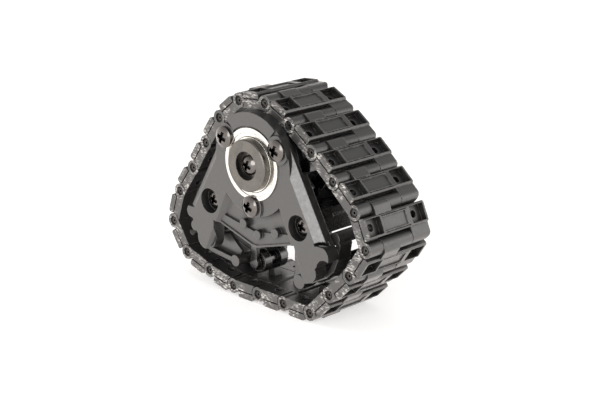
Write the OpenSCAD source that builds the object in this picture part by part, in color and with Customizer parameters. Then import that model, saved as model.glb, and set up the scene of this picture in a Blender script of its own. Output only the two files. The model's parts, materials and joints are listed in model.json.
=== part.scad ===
// Triangular track unit for a small model crawler: a moulded frame with a toothed drive drum on
// top, ball bearings, flexible corner skids, bottom rollers and a closed track of hinged links.
// X runs along the vehicle, Y is the drive axle (front plate at -Y), Z is up.
// The origin is the centre of the drive axle, half way across the track.

/* [Track] */
// Distance between two hinge pins
pitch = 7.5; // [7.4:0.05:7.6]
// Width of the track
track_w = 17.3; // [17:0.1:18]
// Radius of the hinge knuckles
knuckle_r = 1.6; // [1.5:0.05:1.65]
// Radius of the hinge pins
pin_r = 0.6; // [0.5:0.05:0.65]
// Height of the pad face above the pin line
pad_top = 2.05; // [1.9:0.05:2.2]
// Depth of the link's inner face below the pin line
link_in = 1.45; // [1.3:0.05:1.5]
// Height of the centre guide horn, from the pin line
horn_h = 3; // [2:0.1:3.2]

/* [Frame] */
// Distance from the track's side to the face of the plate
plate_proud = 2.25; // [2:0.05:2.5]
// Thickness of the side plates
plate_t = 3.1; // [2.8:0.1:3.4]
// Radius of the round boss that holds the bearing
boss_r = 10.7; // [10.4:0.1:10.9]
// Depth of the side bevels and of the sunk web
sunk = 1.3; // [1:0.1:1.6]
// Distance from the centre to the two counterbored screws, along X
frame_screw_x = 12.9; // [12.5:0.1:13.2]
// Their height, from the axle
frame_screw_z = -10.4; // [-10.8:0.1:-10]

/* [Bearings and hub] */
// Outer diameter of the ball bearings
bearing_od = 15; // [15]
// Bore of the ball bearings
bearing_id = 10; // [10]
// Width of the ball bearings
bearing_w = 4; // [4]
// Radius on which the three bearing screws stand
retainer_r = 8.7; // [8.6:0.05:8.8]
// Across flats of the hexagon socket at the back of the hub
hex_af = 7; // [7]
// Depth of the hexagon socket
hex_depth = 4; // [3.5:0.1:4.5]
// Radius of the bore for the driven axle
axle_bore_r = 1.5; // [1.5:0.05:1.6]
// Number of teeth on the drive drum
teeth = 10; // [10]
// Radius of the tips of the teeth
tooth_tip_r = 9.7; // [9:0.1:9.7]

/* [Rollers] */
// Radius of the bottom rollers
roller_r = 2.4; // [2.2:0.05:2.5]
// Half the distance between the two rollers
roller_x = 6.6; // [6.4:0.1:6.8]

/* [Hidden] */
$fn = 48;
big = 60;
running_gap = 0.05;

// Colours
moulded = [0.16, 0.16, 0.16];
glossy = [0.10, 0.10, 0.11];
steel = [0.78, 0.78, 0.76];
dark_metal = [0.40, 0.39, 0.38];

// The loop of the track. The first eighteen links have the slope that a slack track takes round
// the frame, in degrees, clockwise from the lower left pin; the last two close the loop.
first_pin = [-24.97, -11.38];
link_slopes = [54, 56, 55, 38, 5, -26, -35, -39, -41, -66, -124, -135, -135, 180, 180, 180, 168, 162];
function step(a) = pitch * [cos(a), sin(a)];
function open_pin(i) = i == 0 ? first_pin : open_pin(i - 1) + step(link_slopes[i - 1]);
closing_gap = first_pin - open_pin(18);
closing_slope = atan2(closing_gap[1], closing_gap[0]);
closing_half = acos(norm(closing_gap) / 2 / pitch);
slopes = concat(link_slopes, [closing_slope + closing_half, closing_slope - closing_half]);
function pin_at(i) = i < 19 ? open_pin(i) : open_pin(18) + step(slopes[18]);

// Stations across a link, from the front: outer knuckle, flat tab, barrel, rear knuckle
half_w = track_w / 2;
tab_y0 = -5;
tab_y1 = -0.55;
barrel_y1 = 3.5;
hinge_gap = 0.2;
cut_r = knuckle_r + 0.2;
pad_s0 = 1.5;
pad_s1 = 5.8;
arm_out = 0.7;
ground_z = pin_at(14)[1] - pad_top;

// Planes of the frame
face_y = -half_w - plate_proud;
plate_back_y = face_y + plate_t;
side_slope = 30;
bevel_w = 1.85;
leg_slope = 26;
leg_offset = 3.7;
corner_z = -12.9;
// Round lobes of the lower corners: centre and radius
left_lobes = [[-18.75, -13.95, 1.33], [-17.75, -16.9, 1.08], [-14.4, -18.9, 2.38]];
right_lobes = [[18.9, -15, 2.3], [15.7, -18.8, 2.15]];
right_notch = [20.2, -17.6, 2.25];
chin_z = -17.5;
chin_side = [11.8, -14.3];
rib_z = [-14.4, -12];
pad_h = 0.35;

// Planes of the hub
bearing_y0 = face_y - 0.3;
bearing_y1 = bearing_y0 + bearing_w;
hub_end_y = -face_y + 1.15;
cap_face_y = face_y - 1.7;
cap_back_y = bearing_y0 - 0.02;
cap_r = 5.35;
spigot_r = 3.6;
spigot_y = cap_back_y + 1.4;
hub_screw_seat = cap_face_y + 1.5;
axle_stop_y = -4;
race_t = 0.9;
rail_gap = 3.6;
rail_y = 7.1;
roller_z = pin_at(14)[1] + knuckle_r + roller_r + 0.45;
carrier_y0 = 3.6;
carrier_y1 = 4.5;

// Extrude a side view, drawn in X and Z, from y0 to y1
module side(y0, y1) {
    translate([0, y1, 0]) rotate([90, 0, 0]) linear_extrude(y1 - y0) children();
}

// A round bar along Y
module bar(x, z, r, y0, y1) {
    translate([x, y1, z]) rotate([90, 0, 0]) cylinder(r = r, h = y1 - y0);
}

// A ring round the drive axle
module ring(r_out, r_in, y0, y1) {
    difference() {
        bar(0, 0, r_out, y0, y1);
        bar(0, 0, r_in, y0 - 1, y1 + 1);
    }
}

// Both sides of something
module both_sides() {
    children();
    mirror([1, 0, 0]) children();
}

// Front and rear of something
module front_and_rear() {
    children();
    mirror([0, 1, 0]) children();
}

// ---------------------------------------------------------------- track

// Side view of a link between its pins, before the neighbours' knuckles are cut away
module arm_2d() {
    translate([0, -link_in]) square([pitch, link_in + arm_out]);
}

// Side view of the pad, with its long edges broken
module pad_2d() {
    c = 0.3;
    polygon([
        [pad_s0, 0], [pad_s1, 0], [pad_s1, pad_top - c], [pad_s1 - c, pad_top],
        [pad_s0 + c, pad_top], [pad_s0, pad_top - c]
    ]);
}

// Side view of a knuckle on the pin at s
module knuckle_2d(s) {
    translate([s, 0]) circle(r = knuckle_r);
}

// Front part of a link: arm and outer knuckle
module front_arm() {
    side(-half_w, tab_y0 - hinge_gap / 2) {
        difference() {
            arm_2d();
            circle(r = cut_r);
        }
        knuckle_2d(pitch);
    }
}

// Centre part: the tongue that fits between the next link's knuckles
module tongue() {
    side(tab_y0 + hinge_gap / 2, barrel_y1 - hinge_gap / 2) {
        difference() {
            arm_2d();
            translate([pitch, 0]) circle(r = cut_r);
        }
        knuckle_2d(0);
    }
    side(tab_y0 + hinge_gap / 2, tab_y1) {
        square([pad_s0 + 0.1, pad_top - 0.05]);
        translate([0, pad_top - 1.05]) circle(r = 1);
    }
}

// Rear part: a knuckle whose outer face runs flat into the pad and whose end is rounded
module rear_arm() {
    end_r = 1.3;
    difference() {
        side(barrel_y1 + hinge_gap / 2, half_w) {
            difference() {
                arm_2d();
                circle(r = cut_r);
            }
            knuckle_2d(pitch);
            translate([pad_s1 - 0.1, 0]) square([pitch - pad_s1 + 0.1, knuckle_r]);
        }
        translate([pitch + knuckle_r - end_r, half_w - end_r, -3]) difference() {
            cube([end_r + 1, end_r + 1, 6]);
            translate([0, 0, -1]) cylinder(r = end_r, h = 8);
        }
    }
}

// Square pocket in the pad with a hole in its floor, centred on y
module pad_pocket(y) {
    pocket_w = 4.1;
    translate([1.9, y - pocket_w / 2, arm_out]) cube([3.45, pocket_w, 3]);
    translate([3.6, y, -3]) cylinder(r = 0.75, h = 6);
}

// Guide horn on the inside of the link
module horn() {
    side(-0.9, 0.9) polygon([[2.3, 0], [5.2, 0], [4.5, -horn_h], [3, -horn_h]]);
}

// One link, from its pin A at the origin to its pin B on +X, with its pad on +Z
module link() {
    difference() {
        union() {
            front_arm();
            tongue();
            rear_arm();
            side(-half_w, half_w) pad_2d();
            horn();
        }
        // Pin holes, widened at both ends of the hinge
        for (s = [0, pitch]) bar(s, 0, pin_r + 0.03, -half_w - 1, half_w + 1);
        // Room for the outer knuckles of the link before
        bar(0, 0, cut_r, -half_w - 1, tab_y0 - hinge_gap / 2);
        bar(0, 0, cut_r, barrel_y1 + hinge_gap / 2, half_w + 1);
        for (y = [-half_w - 1, half_w - 0.45]) bar(pitch, 0, 1, y, y + 1.45);
        for (y = [-6.2, 6.2]) pad_pocket(y);
        // Sunk panel between the pockets, with a groove along each side
        translate([2.35, -3.8, pad_top - 0.25]) cube([2.7, 6.75, 1]);
        for (s = [1.9, 5.25]) translate([s, -3.8, pad_top - 0.2]) cube([0.2, 7.3, 1]);
        // Parting groove between arm and pad on both side faces
        for (y = [-half_w - 1, half_w - 0.36]) translate([pad_s0 - 0.5, y, 0.42]) cube([5, 1.36, 0.3]);
    }
}

module track_link(i) {
    color(moulded) translate([pin_at(i)[0], 0, pin_at(i)[1]]) rotate([0, -slopes[i], 0]) link();
}

module track_pins() {
    color(steel) for (i = [0:19]) difference() {
        bar(pin_at(i)[0], pin_at(i)[1], pin_r, -half_w + 0.25, half_w - 0.25);
        // Dimple in both ends
        for (y = [-half_w, half_w - 0.7]) bar(pin_at(i)[0], pin_at(i)[1], 0.26, y, y + 0.7);
    }
}

// ---------------------------------------------------------------- frame

// Outline of a side plate: round boss, straight sides at the side slope, lobed lower corners
module plate_2d() {
    circle(r = boss_r);
    tangent = boss_r * [cos(side_slope), sin(side_slope)];
    corner_x = (boss_r - corner_z * sin(side_slope)) / cos(side_slope);
    difference() {
        polygon([
            tangent, [corner_x, corner_z], [20, -16], [17, -18], lobe_side(right_lobes[1], -1),
            chin_side, [0.8, chin_z], [-0.8, chin_z], [-chin_side[0], chin_side[1]],
            lobe_side(left_lobes[2], 1), [-17, -18], [-corner_x, corner_z], [-tangent[0], tangent[1]]
        ]);
        translate([right_notch[0], right_notch[1]]) circle(r = right_notch[2]);
    }
    difference() {
        for (lobe = concat(left_lobes, right_lobes)) translate([lobe[0], lobe[1]]) circle(r = lobe[2]);
        translate([right_notch[0], right_notch[1]]) circle(r = right_notch[2]);
    }
}
function lobe_side(lobe, m) = [lobe[0] + m * lobe[2], lobe[1]];

// Sloping strip that is cut off along the right side of the plate
module side_bevel() {
    difference() {
        rotate([0, -side_slope, 0]) translate([0, 0, -big / 2]) linear_extrude(big) polygon([
            [boss_r - bevel_w, face_y - 0.01], [boss_r - bevel_w, face_y - 2], [big, face_y - 2],
            [big, face_y + sunk], [boss_r + 0.02, face_y + sunk]
        ]);
        bar(0, 0, boss_r, face_y - 3, face_y + 3);
        translate([-big, face_y - 3, corner_z - big]) cube([2 * big, 6, big]);
    }
}

// Half of the sunk web: everything on the inner side of the right leg's sloping flank
module web_half() {
    rotate([0, -leg_slope, 0]) translate([0, 0, -big / 2]) linear_extrude(big) polygon([
        [-big, face_y - 2], [leg_offset + 2, face_y - 2], [leg_offset, face_y],
        [leg_offset - sunk, face_y + sunk], [-big, face_y + sunk]
    ]);
}

// The sunk web between the two legs, below the boss
module web() {
    difference() {
        intersection() {
            web_half();
            mirror([1, 0, 0]) web_half();
        }
        bar(0, 0, boss_r, face_y - 3, face_y + 3);
    }
}

// Side view of the chin below the web, from its rib line down to the lower edge
module chin_2d() {
    w = chin_side[0] + 2;
    polygon([[0, rib_z[0]], [w, rib_z[1]], [w, chin_z - 1], [-w, chin_z - 1], [-w, rib_z[1]]]);
}

// The chin stands a little above the web, with a lip along its lower edge and three round bosses
module chin() {
    intersection() {
        union() {
            side(face_y + 0.85, face_y + sunk + 0.1) chin_2d();
            side(face_y + 0.6, face_y + sunk + 0.1) difference() {
                plate_2d();
                translate([0, 0.45]) plate_2d();
                translate([-big, -14]) square([2 * big, big]);
            }
        }
        side(face_y, face_y + plate_t) plate_2d();
        web();
    }
    for (p = [[-3, -13.1], [1.1, -14.6], [6.2, -13.1]]) bar(p[0], p[1], 0.95, face_y + 0.15, face_y + sunk + 0.1);
}

// A sector of a ring, from angle a0 to a1, drawn in X and Z
module sector_2d(r_out, r_in, a0, a1) {
    intersection() {
        difference() {
            circle(r = r_out);
            circle(r = r_in);
        }
        polygon([[0, 0], big * [cos(a0), sin(a0)], big * [0, 1], big * [cos(a1), sin(a1)]]);
    }
}

// Raised pads on the boss: the crescent over the bearing and a round pad under each screw
module boss_pads() {
    side(face_y - pad_h, face_y + 0.1) sector_2d(boss_r, 7.9, 50, 130);
    side(face_y - pad_h, face_y + 0.1) intersection() {
        circle(r = boss_r);
        union() for (a = [30, 150, 270]) translate(retainer_r * [cos(a), sin(a)]) circle(r = 2.95);
    }
}

// The side plate at the front; the one at the rear is its mirror image
module side_plate() {
    difference() {
        union() {
            difference() {
                side(face_y, plate_back_y) plate_2d();
                both_sides() side_bevel();
                web();
            }
            chin();
            boss_pads();
            // Collar behind the plate that holds the rest of the bearing
            bar(0, 0, 8.9, plate_back_y - 0.1, bearing_y1 + 0.8);
        }
        // Bearing seat with a lip behind it
        bar(0, 0, bearing_od / 2 + 0.02, face_y - 2, bearing_y1 + 0.02);
        bar(0, 0, 6.6, face_y - 2, bearing_y1 + 2);
        // Relief for the links that pass close to the boss
        side(-half_w - 0.2, bearing_y1 + 2) difference() {
            circle(r = boss_r + 5);
            circle(r = 9.5);
            translate([-big, -2 * big]) square(2 * big);
        }
        // Threaded holes of the bearing screws
        for (a = [30, 150, 270]) bar(retainer_r * cos(a), retainer_r * sin(a), 0.9, face_y - 1, face_y + 2.4);
        // Counterbores and holes of the frame screws
        for (m = [1, -1]) {
            bar(m * frame_screw_x, frame_screw_z, 2.65, face_y - 1, face_y + 2);
            bar(m * frame_screw_x, frame_screw_z, 1.05, face_y - 1, plate_back_y + 1);
        }
        // Curved gap between the side bevel and the right upper lobe
        side(face_y - 1, -half_w - 0.15) translate([right_lobes[0][0], right_lobes[0][1]]) {
            sector_2d(right_lobes[0][2] + 0.6, right_lobes[0][2], 20, 125);
        }
        // Narrow crease at the top of the right leg
        rotate([0, 28, 0]) translate([1.2, face_y - 1, -11.3]) cube([2.6, 1.3, 0.35]);
    }
}

module front_plate() {
    color(moulded) side_plate();
}

module rear_plate() {
    color(moulded) mirror([0, 1, 0]) side_plate();
}

// Spacer between the plates: a round post for the frame screws and a wall along the plate's edge
module cross_bar(m) {
    length = -plate_back_y - 0.02;
    color(glossy) difference() {
        side(-length, length) {
            translate([m * frame_screw_x, frame_screw_z]) circle(r = 2.6);
            intersection() {
                rotate(m * side_slope) translate([m > 0 ? 6 : -10.35, -20]) square([4.35, 40]);
                translate([-big, -10.8]) square([2 * big, 4]);
                translate([m > 0 ? 0 : -big, -big]) square([big, 2 * big]);
            }
        }
        for (y = [-length - 1, length - 7]) bar(m * frame_screw_x, frame_screw_z, 0.85, y, y + 8);
        bar(m * 15.8, -8.7, 1, -length + 3, length - 3);
    }
}

// A flat strip between points a and b
module strip_2d(a, b, t) {
    d = b - a;
    translate(a) rotate(atan2(d[1], d[0])) translate([0, -t / 2]) square([norm(d), t]);
}

// A skid: a springy strip along the inside of the track between two beads, as two rails that
// leave the middle free for the guide horns, and a stem that joins it to the plate's lower lobe
module skid(points, end_r, stem) {
    strip_t = 1.05;
    for (m = [1, -1]) side(m > 0 ? rail_gap : -rail_y, m > 0 ? rail_y : -rail_gap) {
        for (i = [1:len(points) - 1]) strip_2d(points[i - 1], points[i], strip_t);
        for (i = [1:len(points) - 2]) translate(points[i]) circle(d = strip_t + 0.1);
        strip_2d([stem[0], stem[1]], points[stem[2]], 0.8);
    }
    bar(points[0][0], points[0][1], 1.3, -rail_y, rail_y);
    last = points[len(points) - 1];
    front_and_rear() bar(last[0], last[1], end_r, -rail_y, -rail_gap);
    // Pegs that clip into the plates
    bar(stem[0], stem[1], 0.9, plate_back_y + 0.02, -plate_back_y - 0.02);
}

module skid_left() {
    color(moulded) {
        skid(
            [[-19.6, -12.6], [-20.9, -14.5], [-21.6, -17.2], [-21.1, -19.8], [-19.2, -22], [-17, -22.9], [-9.5, -23.7]],
            1.25, [-15, -18.7, 4]
        );
        // Gussets between the stem and the strip
        front_and_rear() side(-5.9, -5.1) {
            polygon([[-15.2, -18.9], [-12.4, -18.5], [-8.6, -21.6], [-9.6, -23.5], [-17, -22.8]]);
        }
    }
}

module skid_right() {
    color(moulded) skid(
        [[19.3, -12], [20.2, -13.2], [19.7, -16.2], [18.7, -18.6], [16.9, -20.3], [13.2, -22.2], [9.4, -23.5]],
        1.5, [15, -18.7, 4]
    );
}

// Carrier between the plates, with two pairs of hangers that hold the roller axles
module roller_carrier() {
    color(glossy) difference() {
        union() {
            side(plate_back_y + 0.02, -plate_back_y - 0.02) {
                translate([-roller_x - 1, -14.6]) square([2 * roller_x + 2, 1.2]);
            }
            front_and_rear() for (m = [1, -1]) side(-carrier_y1, -carrier_y0) {
                translate([m * roller_x - 0.9, roller_z]) square([1.8, -14 - roller_z]);
                translate([m * roller_x, roller_z]) circle(r = 1.25);
            }
        }
        for (m = [1, -1]) bar(m * roller_x, roller_z, 0.78, -carrier_y1 + 0.25, carrier_y1 - 0.25);
    }
}

module roller_axles() {
    length = carrier_y1 - 0.3;
    color(steel) for (m = [1, -1]) bar(m * roller_x, roller_z, 0.75, -length, length);
}

// A roller with a waist that clears the guide horns
module roller(m) {
    x = m * roller_x;
    color(glossy) difference() {
        union() {
            front_and_rear() {
                bar(x, roller_z, roller_r, -3.3, -1.35);
                bar(x, roller_z, 1.2, -3.5, -3.2);
            }
            bar(x, roller_z, 1.3, -1.5, 1.5);
        }
        bar(x, roller_z, 0.75 + running_gap, -8, 8);
        for (y = [-4.8, 2.8]) difference() {
            bar(x, roller_z, 1.9, y, y + 2);
            bar(x, roller_z, 1.25, y - 1, y + 3);
        }
    }
}

// ---------------------------------------------------------------- screws

// Cross recess, cut into a screw head whose face is at y
module cross_recess(x, z, size, y) {
    for (a = [0, 90]) translate([x, y, z]) rotate([0, a + 20, 0]) {
        translate([-size / 2, -0.5, -size * 0.17]) cube([size, 0.5 + size * 0.42, size * 0.34]);
    }
}

// Domed screw that enters towards +Y, with the top of its head at y
module pan_screw(x, z, head_r, head_h, shank_r, length, y) {
    dome = head_h * 0.6;
    dome_r = (head_r * head_r + dome * dome) / 2 / dome;
    difference() {
        union() {
            intersection() {
                bar(x, z, head_r, y - 1, y + head_h);
                translate([x, y + dome_r, z]) sphere(r = dome_r);
            }
            bar(x, z, shank_r, y + head_h - 0.1, y + head_h + length);
        }
        cross_recess(x, z, head_r * 1.12, y);
    }
}

module bearing_screws() {
    color(steel) front_and_rear() for (a = [30, 150, 270]) {
        head_h = 1.15;
        y = face_y - pad_h - head_h;
        pan_screw(retainer_r * cos(a), retainer_r * sin(a), 2.2, head_h, 0.88, 2.5, y);
    }
}

module frame_screws() {
    color(steel) front_and_rear() for (m = [1, -1]) {
        pan_screw(m * frame_screw_x, frame_screw_z, 1.95, 1.1, 0.83, 6.8, face_y + 0.9);
    }
}

module hub_screw() {
    color(steel) pan_screw(0, 0, 2.05, 1.45, 1, axle_stop_y - hub_screw_seat - 0.05, hub_screw_seat - 1.45);
}

// ---------------------------------------------------------------- bearings and hub

module bearing_outer() {
    color(steel) ring(bearing_od / 2, bearing_od / 2 - race_t, bearing_y0, bearing_y1);
}

module bearing_shields() {
    color(steel) for (y = [bearing_y0 + 0.15, bearing_y1 - 0.35]) {
        ring(bearing_od / 2 - race_t, bearing_id / 2 + 0.75, y, y + 0.2);
    }
}

module bearing_inner() {
    color(steel) ring(bearing_id / 2 + 0.65, bearing_id / 2 + 0.01, bearing_y0, bearing_y1);
}

module bearing_balls() {
    race_mid = (bearing_od / 2 - race_t + bearing_id / 2 + 0.65) / 2;
    balls = 15;
    ball_r = (bearing_od / 2 - race_t - bearing_id / 2 - 0.65) / 2 - running_gap;
    color(steel) for (i = [1:balls]) {
        a = i * 360 / balls;
        translate([race_mid * cos(a), (bearing_y0 + bearing_y1) / 2, race_mid * sin(a)]) sphere(r = ball_r, $fn = 32);
    }
}

// Sleeve that runs in both bearings, with a seat for the cap in front and a hexagon socket behind
module hub_sleeve() {
    color(dark_metal) difference() {
        union() {
            bar(0, 0, bearing_id / 2, cap_back_y + 0.02, hub_end_y);
            bar(0, 0, 5.55, bearing_y1 + 0.05, -bearing_y1 - 0.05);
        }
        bar(0, 0, spigot_r + 0.02, cap_back_y - 1, spigot_y + 0.02);
        bar(0, 0, 1.05, cap_back_y, 0);
        bar(0, 0, axle_bore_r, axle_stop_y, hub_end_y);
        translate([0, hub_end_y + 1, 0]) rotate([90, 0, 0]) {
            cylinder(d = hex_af / cos(30), h = hex_depth + 1, $fn = 6);
        }
    }
}

// Cap that the hub screw clamps against the front bearing
module hub_cap() {
    lip = 0.2;
    color(dark_metal) difference() {
        union() {
            translate([0, cap_face_y + lip, 0]) rotate([90, 0, 0]) cylinder(r1 = cap_r, r2 = cap_r - lip, h = lip);
            bar(0, 0, cap_r, cap_face_y + lip, cap_back_y);
            bar(0, 0, spigot_r, cap_back_y - 0.1, spigot_y);
        }
        bar(0, 0, 2.95, cap_face_y - 1, hub_screw_seat);
        bar(0, 0, 1.05, cap_face_y, spigot_y + 1);
    }
}

// Side view of the toothed rim of the drive drum
module teeth_2d() {
    root_r = 8;
    circle(r = root_r);
    intersection() {
        circle(r = tooth_tip_r);
        for (i = [1:teeth]) rotate(i * 360 / teeth) polygon([
            [root_r - 0.5, -1.5], [tooth_tip_r + 1, -0.75], [tooth_tip_r + 1, 0.75], [root_r - 0.5, 1.5]
        ]);
    }
}

module drive_drum() {
    color(glossy) difference() {
        union() {
            front_and_rear() side(1.6, 4.2) teeth_2d();
            bar(0, 0, 6.9, -5.6, 5.6);
        }
        bar(0, 0, 5.57, -10, 10);
    }
}

// ---------------------------------------------------------------- assembly

front_plate();
rear_plate();
cross_bar(-1);  // cross_bar_left
cross_bar(1);  // cross_bar_right
skid_left();
skid_right();
roller_carrier();
roller_axles();
frame_screws();
bearing_screws();
bearing_outer();  // front_bearing_outer
mirror([0, 1, 0]) bearing_outer();  // rear_bearing_outer
bearing_shields();  // front_bearing_shields
mirror([0, 1, 0]) bearing_shields();  // rear_bearing_shields
hub_sleeve();
hub_cap();
drive_drum();
hub_screw();
bearing_inner();  // front_bearing_inner
mirror([0, 1, 0]) bearing_inner();  // rear_bearing_inner
bearing_balls();  // front_bearing_balls
mirror([0, 1, 0]) bearing_balls();  // rear_bearing_balls
roller(-1);  // roller_1
roller(1);  // roller_2
track_pins();
track_link(0);  // track_link_01
track_link(1);  // track_link_02
track_link(2);  // track_link_03
track_link(3);  // track_link_04
track_link(4);  // track_link_05
track_link(5);  // track_link_06
track_link(6);  // track_link_07
track_link(7);  // track_link_08
track_link(8);  // track_link_09
track_link(9);  // track_link_10
track_link(10);  // track_link_11
track_link(11);  // track_link_12
track_link(12);  // track_link_13
track_link(13);  // track_link_14
track_link(14);  // track_link_15
track_link(15);  // track_link_16
track_link(16);  // track_link_17
track_link(17);  // track_link_18
track_link(18);  // track_link_19
track_link(19);  // track_link_20
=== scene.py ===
"""Looks of a small triangular track unit: moulded black plastic, ball bearings and steel screws,
on a pale floor in soft studio light. Lengths are in metres unless a name ends in _mm."""

import json
import math

import bpy
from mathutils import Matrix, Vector


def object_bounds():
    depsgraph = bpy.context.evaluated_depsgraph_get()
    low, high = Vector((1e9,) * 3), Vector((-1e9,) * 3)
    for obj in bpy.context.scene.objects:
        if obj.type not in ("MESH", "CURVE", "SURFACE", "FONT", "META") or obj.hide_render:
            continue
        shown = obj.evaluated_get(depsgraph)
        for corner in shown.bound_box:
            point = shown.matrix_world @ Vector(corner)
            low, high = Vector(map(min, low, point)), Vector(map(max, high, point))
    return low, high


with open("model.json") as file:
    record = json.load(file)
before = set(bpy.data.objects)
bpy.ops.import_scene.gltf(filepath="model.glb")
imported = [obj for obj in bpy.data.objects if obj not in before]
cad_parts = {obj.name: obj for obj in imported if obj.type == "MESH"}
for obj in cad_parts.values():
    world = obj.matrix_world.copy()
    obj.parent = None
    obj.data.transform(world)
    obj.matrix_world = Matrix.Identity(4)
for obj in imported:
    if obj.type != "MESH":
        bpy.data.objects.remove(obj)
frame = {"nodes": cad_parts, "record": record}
CAD_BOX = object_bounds()
MM = 0.001

# ------------------------------------------------------------------ camera

VIEW_AZIMUTH = math.radians(44.96)
VIEW_ELEVATION = math.radians(17.26)
VIEW_DISTANCE = 0.309
LENS_MM = 90.78
SENSOR_MM = 36.0
# Where the drive axle stands in the frame, as shares of the frame's width from its centre
AXLE_LEFT = 0.0155
AXLE_UP = 0.0765

FORWARD = Vector((
    -math.sin(VIEW_AZIMUTH) * math.cos(VIEW_ELEVATION),
    math.cos(VIEW_AZIMUTH) * math.cos(VIEW_ELEVATION),
    -math.sin(VIEW_ELEVATION),
))
RIGHT = FORWARD.cross(Vector((0, 0, 1))).normalized()
UP = RIGHT.cross(FORWARD)


def make_camera():
    """A camera that sees the axle's centre at its place in the frame."""
    data = bpy.data.cameras.new("camera")
    data.lens = LENS_MM
    data.sensor_width = SENSOR_MM
    data.clip_start = 0.01
    data.clip_end = 20
    camera = bpy.data.objects.new("camera", data)
    bpy.context.scene.collection.objects.link(camera)
    frame_width = SENSOR_MM / LENS_MM
    ray = FORWARD - RIGHT * AXLE_LEFT * frame_width + UP * AXLE_UP * frame_width
    camera.location = -ray * VIEW_DISTANCE
    camera.rotation_mode = "QUATERNION"
    camera.rotation_quaternion = FORWARD.to_track_quat("-Z", "Y")
    bpy.context.scene.camera = camera


# ------------------------------------------------------------------ floor and light

FLOOR_SIZE = 8.0
FLOOR_DROP = 0.02 * MM
FLOOR_COLOUR = (0.7, 0.69, 0.68, 1)
WARM = (1.0, 0.95, 0.91, 1)
WHITE = (1, 1, 1, 1)
CEILING_GREY = (0.27, 0.27, 0.27, 1)
# The floor's own glow: the one that lights the object, and the softer one that the camera sees,
# which leaves room for a contact shadow
FLOOR_GLOW = 1.35
FLOOR_GLOW_SEEN = 0.48
# The room's brightness, and the heights of a ray's direction between which it darkens
ROOM_STRENGTH = 2.0
ROOM_WARM_TO = 0.15
ROOM_GREY_FROM = 0.7


def make_floor():
    """A pale floor just under the track, bright enough to lose its horizon."""
    z = CAD_BOX[0].z - FLOOR_DROP
    half = FLOOR_SIZE / 2
    mesh = bpy.data.meshes.new("floor")
    corners = [(-half, -half, z), (half, -half, z), (half, half, z), (-half, half, z)]
    mesh.from_pydata(corners, [], [(0, 1, 2, 3)])
    floor = bpy.data.objects.new("floor", mesh)
    bpy.context.scene.collection.objects.link(floor)
    g = Graph("floor")
    seen = g.tree.nodes.new("ShaderNodeLightPath").outputs["Is Camera Ray"]
    g.shader.inputs["Base Color"].default_value = FLOOR_COLOUR
    g.shader.inputs["Roughness"].default_value = 0.9
    g.shader.inputs["Specular IOR Level"].default_value = 0.0
    g.feed(g.shader.inputs["Emission Color"], g.mix(seen, WARM, WHITE))
    g.feed(g.shader.inputs["Emission Strength"], g.ramp(seen, 0, 1, FLOOR_GLOW, FLOOR_GLOW_SEEN))
    mesh.materials.append(g.material)


def make_world():
    """A warm white room round the horizon that darkens to grey towards its ceiling."""
    world = bpy.data.worlds.new("studio")
    bpy.context.scene.world = world
    world.use_nodes = True
    nodes, links = world.node_tree.nodes, world.node_tree.links
    background = nodes["Background"]
    where = nodes.new("ShaderNodeTexCoord")
    split = nodes.new("ShaderNodeSeparateXYZ")
    ramp = nodes.new("ShaderNodeValToRGB")
    links.new(where.outputs["Generated"], split.inputs[0])
    links.new(split.outputs["Z"], ramp.inputs["Fac"])
    links.new(ramp.outputs["Color"], background.inputs["Color"])
    first, last = ramp.color_ramp.elements
    first.position, last.position = ROOM_WARM_TO, ROOM_GREY_FROM
    first.color, last.color = WARM, CEILING_GREY
    background.inputs["Strength"].default_value = ROOM_STRENGTH


def make_softbox(name, left, up, toward, size, power):
    """An area light placed by the viewer's directions from the object, and aimed at it."""
    data = bpy.data.lights.new(name, "AREA")
    data.shape = "SQUARE"
    data.size = size
    data.energy = power
    light = bpy.data.objects.new(name, data)
    bpy.context.scene.collection.objects.link(light)
    flat = Vector((FORWARD.x, FORWARD.y, 0)).normalized()
    light.location = -RIGHT * left + Vector((0, 0, up)) - flat * toward
    light.rotation_mode = "QUATERNION"
    light.rotation_quaternion = (-light.location).to_track_quat("-Z", "Y")


def make_lights():
    """The room, and a softbox in front, at the right and above."""
    make_world()
    make_softbox("front", left=0.3, up=0.2, toward=0.6, size=0.4, power=2.7)
    make_softbox("right", left=-0.6, up=0.2, toward=0.0, size=0.35, power=0.5)
    make_softbox("top", left=0.1, up=0.7, toward=0.1, size=0.4, power=0.8)


# ------------------------------------------------------------------ materials

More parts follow.
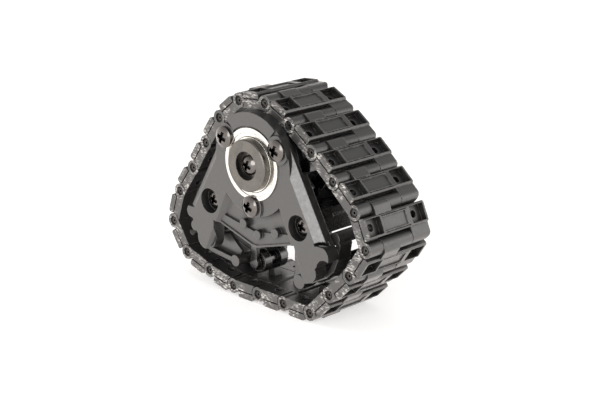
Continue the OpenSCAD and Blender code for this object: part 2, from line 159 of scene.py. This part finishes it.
class Graph:
    """A small helper that adds shader nodes and their links to a material."""

    def __init__(self, name):
        self.material = bpy.data.materials.new(name)
        self.material.use_nodes = True
        self.tree = self.material.node_tree
        self.shader = self.tree.nodes["Principled BSDF"]

    def add(self, kind, **inputs):
        node = self.tree.nodes.new("ShaderNode" + kind)
        for name, value in inputs.items():
            self.feed(node.inputs[name.replace("_", " ")], value)
        return node

    def feed(self, socket, value):
        if isinstance(value, bpy.types.NodeSocket):
            self.tree.links.new(value, socket)
        else:
            socket.default_value = value

    def math(self, operation, a, b=0.0, clamp=False):
        node = self.tree.nodes.new("ShaderNodeMath")
        node.operation = operation
        node.use_clamp = clamp
        self.feed(node.inputs[0], a)
        self.feed(node.inputs[1], b)
        return node.outputs[0]

    def ramp(self, value, low, high, first=0.0, last=1.0):
        """Maps value from low..high to first..last."""
        node = self.tree.nodes.new("ShaderNodeMapRange")
        names = ("Value", "From Min", "From Max", "To Min", "To Max")
        for name, v in zip(names, (value, low, high, first, last)):
            self.feed(node.inputs[name], v)
        return node.outputs[0]

    def mix(self, factor, a, b):
        """Mixes two colours."""
        node = self.tree.nodes.new("ShaderNodeMix")
        node.data_type = "RGBA"
        self.feed(node.inputs[0], factor)
        self.feed(node.inputs[6], a)
        self.feed(node.inputs[7], b)
        return node.outputs[2]

    def place(self):
        return self.tree.nodes.new("ShaderNodeTexCoord").outputs["Object"]

    def noise(self, size_mm, detail=2.0, stretch=None):
        """Noise with features of about size_mm, stretched along the axes where asked."""
        where = self.place()
        if stretch:
            mapping = self.tree.nodes.new("ShaderNodeMapping")
            self.tree.links.new(where, mapping.inputs["Vector"])
            mapping.inputs["Scale"].default_value = stretch
            where = mapping.outputs[0]
        node = self.add("TexNoise", Vector=where, Scale=1 / (size_mm * MM), Detail=detail)
        return node.outputs["Fac"]

    def rounded(self, radius_mm, samples=6):
        """The normal of a surface whose edges are rounded."""
        bevel = self.tree.nodes.new("ShaderNodeBevel")
        bevel.samples = samples
        bevel.inputs["Radius"].default_value = radius_mm * MM
        return bevel.outputs[0]

    def edges(self, radius_mm):
        """1 on sharp edges and 0 away from them."""
        bevel = self.rounded(radius_mm, 4)
        geometry = self.tree.nodes.new("ShaderNodeNewGeometry")
        dot = self.tree.nodes.new("ShaderNodeVectorMath")
        dot.operation = "DOT_PRODUCT"
        self.tree.links.new(bevel, dot.inputs[0])
        self.tree.links.new(geometry.outputs["Normal"], dot.inputs[1])
        return self.ramp(dot.outputs["Value"], 0.99, 0.8)

    def hollows(self, reach_mm, low=0.35, high=0.85):
        """0 deep in recesses and 1 in the open."""
        node = self.tree.nodes.new("ShaderNodeAmbientOcclusion")
        node.samples = 6
        node.only_local = True
        node.inputs["Distance"].default_value = reach_mm * MM
        return self.ramp(node.outputs["AO"], low, high)

    def bump(self, height, strength, depth_mm, round_mm):
        """Relief on a surface whose edges are rounded by round_mm."""
        node = self.add(
            "Bump", Height=height, Strength=strength, Distance=depth_mm * MM,
            Normal=self.rounded(round_mm),
        )
        self.tree.links.new(node.outputs[0], self.shader.inputs["Normal"])


# Colour of the lighter edges: rubbed wear, and also a painted edge highlight
RUBBED_AND_HIGHLIT = (0.30, 0.29, 0.28, 1)
SCUFFED = (0.52, 0.505, 0.48, 1)
GRAIN_MM = 0.12
GRAIN_DEPTH_MM = 0.01
RING_DEPTH_MM = 0.004
# Width of the lighter band along an edge, partly rubbed wear and partly painted edge highlight,
# and how far an opening may be and still count as a recess
RUBBED_AND_HIGHLIT_MM = 0.18
RECESS_MM = 1.4
PLASTIC_ROUND_MM = 0.22
METAL_ROUND_MM = 0.12
TURNED_ROUND_MM = 0.15
# Distances from the track's middle between which the scuffs of its side faces fade in
SCUFFS_FROM_MM = 8.35
SCUFFS_FULL_MM = 8.62
# Painted shade deep in a recess: the share of plastic's mirror reflection, and of metal's colour,
# that is left there
RECESS_SHINE = 0.12
RECESS_COLOUR = 0.04


def plastic(name, shade, rough, specular=1.0, grain=0.25, edge_wear_and_highlight=0.5, scuffs=False):
    """Moulded plastic: fine grain, uneven gloss, lighter edges that are partly rubbed wear and
    partly painted highlight, and painted shade that dims reflection in recesses.
    """
    g = Graph(name)
    body = (shade * 1.03, shade, shade * 0.97, 1)
    pale = (shade * 2.2, shade * 2.15, shade * 2.1, 1)
    cloudy = g.noise(4.0, detail=4)
    colour = g.mix(g.ramp(cloudy, 0.3, 0.7, 0, 0.18), body, pale)
    # Lighter edges, partly rubbed wear and partly a painted edge highlight
    rubbed_and_highlit = g.math("MULTIPLY", g.edges(RUBBED_AND_HIGHLIT_MM), g.ramp(g.noise(0.9, detail=3), 0.4, 0.65))
    colour = g.mix(g.math("MULTIPLY", rubbed_and_highlit, edge_wear_and_highlight), colour, RUBBED_AND_HIGHLIT)
    roughness = g.ramp(g.noise(0.6, detail=3), 0.3, 0.7, rough - 0.05, rough + 0.07)
    if scuffs:
        across = g.tree.nodes.new("ShaderNodeSeparateXYZ")
        g.tree.links.new(g.place(), across.inputs[0])
        from_middle = g.math("ABSOLUTE", across.outputs["Y"])
        side = g.ramp(from_middle, SCUFFS_FROM_MM * MM, SCUFFS_FULL_MM * MM)
        flecks = g.ramp(g.noise(0.3, detail=3, stretch=(0.45, 0.4, 1.5)), 0.5, 0.66)
        patches = g.ramp(g.noise(2.4, detail=1), 0.42, 0.62)
        mark = g.math("MULTIPLY", g.math("MULTIPLY", flecks, patches), side)
        colour = g.mix(g.math("MULTIPLY", mark, 0.8), colour, SCUFFED)
        roughness = g.math("ADD", roughness, g.math("MULTIPLY", mark, 0.2))
    g.feed(g.shader.inputs["Base Color"], colour)
    g.feed(g.shader.inputs["Roughness"], roughness)
    # Painted shade: the mirror reflection is dimmed where the surface lies deep in a recess
    open_air = g.hollows(RECESS_MM, 0.4, 0.92)
    recess_shaded_shine = g.ramp(open_air, 0, 1, specular * RECESS_SHINE, specular)
    g.feed(g.shader.inputs["Specular IOR Level"], recess_shaded_shine)
    g.bump(g.noise(GRAIN_MM, detail=3), grain, GRAIN_DEPTH_MM, PLASTIC_ROUND_MM)
    return g.material


def metal(name, colour, rough, turned=0.0, turned_mm=0.12, hollow_mm=0.6):
    """Plated or turned steel, with lathe rings round the drive axle where turned is above 0, and
    painted shade that darkens its colour in recesses.
    """
    g = Graph(name)
    g.shader.inputs["Metallic"].default_value = 1
    cloudy = g.noise(1.5, detail=4)
    dull = tuple(c * 0.8 for c in colour)
    # Painted shade: the metal's colour falls to a near-black share of itself deep in recesses
    painted_recess_shade = tuple(c * RECESS_COLOUR for c in colour)
    face = g.mix(g.ramp(cloudy, 0.35, 0.7), (*colour, 1), (*dull, 1))
    g.feed(g.shader.inputs["Base Color"], g.mix(g.hollows(hollow_mm), (*painted_recess_shade, 1), face))
    roughness = g.ramp(g.noise(0.5, detail=3), 0.3, 0.7, rough * 0.8, rough * 1.25)
    g.feed(g.shader.inputs["Roughness"], roughness)
    if turned:
        axis = g.tree.nodes.new("ShaderNodeSeparateXYZ")
        g.tree.links.new(g.place(), axis.inputs[0])
        x, z = axis.outputs["X"], axis.outputs["Z"]
        radius = g.math("SQRT", g.math("ADD", g.math("MULTIPLY", x, x), g.math("MULTIPLY", z, z)))
        rings = g.math("SINE", g.math("MULTIPLY", radius, 2 * math.pi / (turned_mm * MM)))
        g.bump(g.math("ADD", rings, g.noise(0.3)), turned, RING_DEPTH_MM, TURNED_ROUND_MM)
    else:
        g.bump(g.noise(0.2, detail=3), 0.15, GRAIN_DEPTH_MM, METAL_ROUND_MM)
    return g.material


def make_materials():
    """One material for each slot of the record."""
    return {
        "track_plastic": plastic(
            "track_plastic", 0.009, 0.38, specular=0.85, grain=0.35, edge_wear_and_highlight=0.6, scuffs=True
        ),
        "frame_plastic": plastic("frame_plastic", 0.009, 0.32, specular=0.9, grain=0.2, edge_wear_and_highlight=0.35),
        "skid_plastic": plastic("skid_plastic", 0.012, 0.32, specular=0.9, grain=0.2, edge_wear_and_highlight=0.35),
        "gloss_plastic": plastic("gloss_plastic", 0.004, 0.22, grain=0.1, edge_wear_and_highlight=0.2),
        "bearing_steel": metal(
            "bearing_steel", (0.66, 0.645, 0.605), 0.16, turned=0.25, hollow_mm=0.25
        ),
        "screw_steel": metal("screw_steel", (0.12, 0.112, 0.107), 0.17, hollow_mm=0.8),
        "steel": metal("steel", (0.06, 0.058, 0.056), 0.35),
        "dark_metal": metal(
            "dark_metal", (0.125, 0.118, 0.11), 0.3, turned=0.3, turned_mm=0.22, hollow_mm=0.3
        ),
    }


# ------------------------------------------------------------------ CAD nodes

def finish_nodes(materials):
    """Gives every CAD node the material of its slot, and shades its curved faces smooth."""
    for row in frame["record"]["subparts"]:
        obj = frame["nodes"][row["node"]]
        slot = row["material_slot"]
        obj.data.materials.clear()
        obj.data.materials.append(materials[slot])
        for polygon in obj.data.polygons:
            polygon.use_smooth = True


# ------------------------------------------------------------------ scene

make_camera()
make_floor()
make_lights()
finish_nodes(make_materials())
bpy.context.scene.view_settings.view_transform = "Standard"
